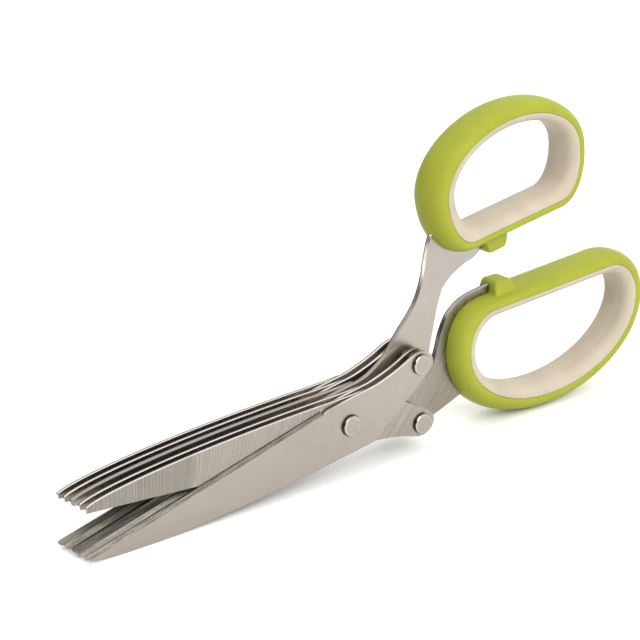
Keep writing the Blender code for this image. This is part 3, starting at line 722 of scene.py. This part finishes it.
# ---------------------------------------------------------------- camera, floor and light
def add_camera():
    """Camera in front, to the left and above, which looks through a long lens at a place a little
    to the left of the pivot and above it."""
    azimuth, elevation, distance = math.radians(-39.86), math.radians(20.505), 830 * mm
    aim_left, aim_up = 10.642 * mm, 32.215 * mm
    target = Vector((pivot.x - aim_left, stack_front, pivot.z + aim_up))
    toward = Vector((math.sin(azimuth) * math.cos(elevation),
                     -math.cos(azimuth) * math.cos(elevation), math.sin(elevation)))
    data = bpy.data.cameras.new("camera")
    data.lens = 180.95
    data.sensor_width = 36.0
    data.clip_start = 0.01
    camera = bpy.data.objects.new("camera", data)
    camera.location = target + toward * distance
    camera.rotation_euler = (target - camera.location).to_track_quat("-Z", "Y").to_euler()
    bpy.context.scene.collection.objects.link(camera)
    bpy.context.scene.camera = camera


def add_floor():
    """A wide white floor with a little warmth."""
    mesh = bpy.data.meshes.new("floor")
    half = 4.0
    mesh.from_pydata([(-half, -half, 0), (half, -half, 0), (half, half, 0), (-half, half, 0)], [],
                     [(0, 1, 2, 3)])
    floor = bpy.data.objects.new("floor", mesh)
    bpy.context.scene.collection.objects.link(floor)
    material, _, shader = new_finish("floor_white", 0.0)
    shader.inputs["Base Color"].default_value = floor_colour
    shader.inputs["Roughness"].default_value = 0.9
    mesh.materials.append(material)


def add_world():
    """Soft studio surround: brighter overhead, a large soft light in front and above, and a dim
    left side that is dark low down."""
    low_sky, high_sky, key_strength, left_share, dark_share = 1.05, 1.82, 5.0, 0.35, 0.95
    key_direction, key_edge = (-0.18, -0.84, 0.53), (0.90, 0.97)
    dark_side, dark_top, left_side = (-0.15, -0.45), (0.52, 0.36), (-0.45, -0.80)
    world = bpy.data.worlds.new("studio")
    bpy.context.scene.world = world
    world.use_nodes = True
    tree = world.node_tree
    where = put(tree, "ShaderNodeTexCoord").outputs["Generated"]
    x, y, z = put(tree, "ShaderNodeSeparateXYZ", {0: where}).outputs
    sky = ramp(tree, z, 0.0, 1.0, low_sky, high_sky)
    dark = calc(tree, "MULTIPLY", ramp(tree, x, *dark_side), ramp(tree, z, *dark_top))
    dark = calc(tree, "MULTIPLY", dark, dark_share)
    sky = calc(tree, "MULTIPLY", sky, calc(tree, "SUBTRACT", 1.0, dark))
    sky = calc(tree, "MULTIPLY", sky, ramp(tree, x, *left_side, 1.0, left_share))
    key = put(tree, "ShaderNodeVectorMath", {0: where, 1: key_direction},
              operation="DOT_PRODUCT").outputs["Value"]
    sky = calc(tree, "MULTIPLY_ADD", ramp(tree, key, *key_edge), key_strength, sky)
    light = tree.nodes["Background"]
    light.inputs["Color"].default_value = (1.0, 1.0, 1.0, 1.0)
    tree.links.new(sky, light.inputs["Strength"])


# ---------------------------------------------------------------- pieces
def dress_handle(name, half, ring, green, cream):
    """Replace a grip and its liner with smooth mouldings."""
    for part, grid, material, slot in (("grip", grip_grid, green, "grip_green"),
                                       ("liner", liner_grid, cream, "liner_cream")):
        piece = f"{name}_{part}_moulding"
        mesh = closed_surface(piece, half.to_world(grid(ring, half.middle)))
        new_piece(piece, mesh, material, half.body, [f"{name}_{part}"])


def dress_rivets(upper, lower, finish):
    """Replace the rivets, washers and spacers with turned ones."""
    centre = np.array((pivot.x, 0.0, pivot.z))
    heads = (("pivot_rivet", lower, centre, pivot_head_radius, stack_front, stack_back),
             ("upper_tang_rivet", upper, upper.tang(), tang_head_radius, stack_front,
              stack_back - blade_step),
             ("lower_tang_rivet", lower, lower.tang(), tang_head_radius,
              stack_front + blade_step, stack_back))
    for name, half, place, radius, front, back in heads:
        mesh = turned(name + "_turned", rivet_profile(radius, front, back), place, False)
        new_piece(name + "_turned", mesh, finish, half.body, [name])
    for layer in range(1, blade_layers):
        for name, half, place in ((f"pivot_washer_{layer}", lower, centre),
                                  (f"upper_tang_spacer_{layer}", upper, upper.tang()),
                                  (f"lower_tang_spacer_{layer}", lower, lower.tang())):
            low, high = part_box(name)
            profile = collar_profile((high[0] - low[0]) / 2, low[1], high[1])
            mesh = turned(name + "_turned", profile, place, True)
            new_piece(name + "_turned", mesh, finish, half.body, [name])


def dress_blades(name, half, thin, plate):
    """Replace the blades of one half, and its handle plate among them, with merged copies."""
    for layer in range(1, blade_layers + 1):
        blade = f"{name}_{layer}"
        mesh = merged_blade(blade + "_ground", frame["nodes"][blade])
        item = new_piece(blade + "_ground", mesh, plate if layer == plate_layer else thin,
                         half.body, [blade])
        item.modifiers.new("even_shading", "WEIGHTED_NORMAL").keep_sharp = True


def build():
    """Make the finishes, and dress both halves in them."""
    upper = Half("upper_handle_half", standing_tilt + opening_angle / 2, 1, -ring_offset)
    lower = Half("lower_handle_half", standing_tilt - opening_angle / 2, -1, ring_offset)
    groups = {"finish": finish_group(), "lines": lines_group(), "sides": sheet_group()}
    green = moulded_finish("grip_green", groups, grip_colour, roughness=0.36, gloss=0.06,
                           clouds=0.24, grain=0.12, bump=0.15)
    cream = moulded_finish("liner_cream", groups, liner_colour, roughness=0.60, gloss=0.25,
                           clouds=0.30, grain=0.12, bump=0.20)
    lower_steel = steel_finish("lower_blade_steel", upper, groups, lean=-0.25, marks=0.10,
                               tone=1.0)
    # the upper blades get painted shade at their tips
    upper_steel = steel_finish("upper_blade_steel", lower, groups, lean=0.80, marks=1.00,
                               tone=0.95, tip=0.75)
    upper_plate = steel_finish("upper_handle_plate_steel", upper, groups, lean=-0.25, marks=0.10,
                               tone=1.02, shank=(0.99, 1.00, 1.03), edge_gain=3.4)
    # the lower plate's shank tint is painted shade with a painted green reflection of the grip
    lower_plate = steel_finish("lower_handle_plate_steel", lower, groups, lean=0.80, marks=0.70,
                               tone=0.92, shank=(0.76, 0.76, 0.70))
    rivet = rivet_finish("rivet_steel", groups)
    dress_handle("upper_handle", upper, Ring(**upper_ring_shape), green, cream)
    dress_handle("lower_handle", lower, Ring(**lower_ring_shape), green, cream)
    dress_rivets(upper, lower, rivet)
    dress_blades("lower_blade", upper, lower_steel, upper_plate)
    dress_blades("upper_blade", lower, upper_steel, lower_plate)


build()
add_camera()
add_floor()
add_world()
bpy.context.scene.view_settings.view_transform = "Standard"
